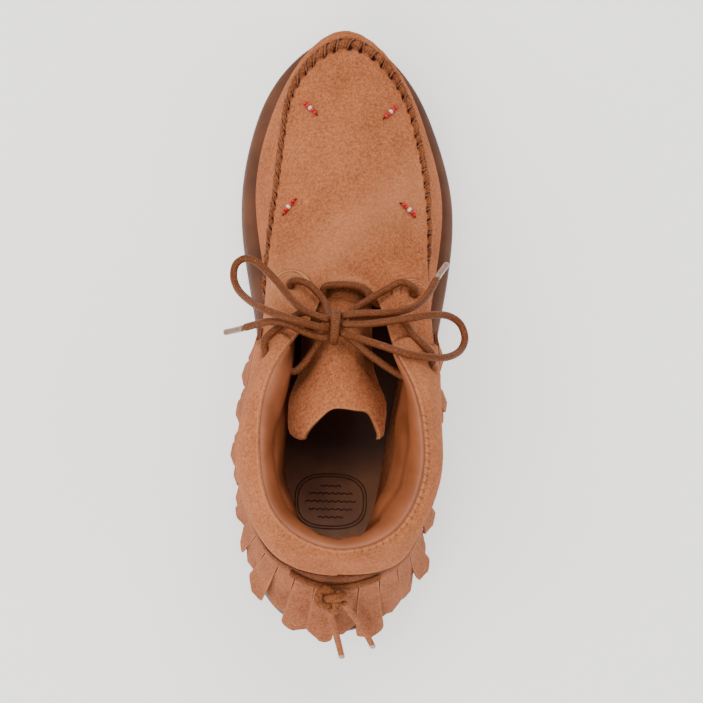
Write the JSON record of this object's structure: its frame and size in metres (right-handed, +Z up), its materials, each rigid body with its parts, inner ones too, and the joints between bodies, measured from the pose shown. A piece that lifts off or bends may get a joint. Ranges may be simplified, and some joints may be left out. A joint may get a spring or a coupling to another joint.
{
  "type": "moccasin boot",
  "caption": "Ankle-high suede moccasin boot for the right foot, with a laced throat, padded collar, fringed heel skirt and moulded sole.",
  "frame": {"origin": "middle of the boot's footprint box on the floor, free cords not counted", "axes": "+Z up, +Y from heel to toe, +X towards the outer (lateral) side of the right foot"},
  "size_m": [0.113, 0.3101, 0.1268],
  "materials": {
    "suede": "brushed suede, matt",
    "fringe_suede": "brushed suede, matt, cut edges",
    "lining_leather": "smooth full grain, satin",
    "insole_leather": "matt, pressed",
    "sole_foam": "moulded foam, satin",
    "sole_rubber": "moulded rubber, satin",
    "waxed_lace": "waxed, glossy",
    "clear_tip": "clear sleeve over the lace",
    "bead_glass": "opaque glass seed beads, red with a white one in the middle"
  },
  "bodies": {
    "root": {"outsole": "sole_rubber", "midsole": "sole_foam", "insole": "insole_leather", "upper": "suede", "collar_cuff": "lining_leather", "tongue": "suede", "fringe": "fringe_suede", "lace_bars": "waxed_lace", "lace_knot": "waxed_lace", "lace_loop_left": "waxed_lace", "lace_loop_right": "waxed_lace", "lace_end_left": "waxed_lace", "lace_end_right": "waxed_lace", "lace_tip_left": "clear_tip", "lace_tip_right": "clear_tip", "heel_thong": "fringe_suede", "heel_thong_knot": "fringe_suede", "heel_thong_end_left": "fringe_suede", "heel_thong_end_right": "fringe_suede", "bead_stitch_1": "bead_glass", "bead_stitch_2": "bead_glass", "bead_stitch_3": "bead_glass", "bead_stitch_4": "bead_glass"}
  },
  "joints": []
}
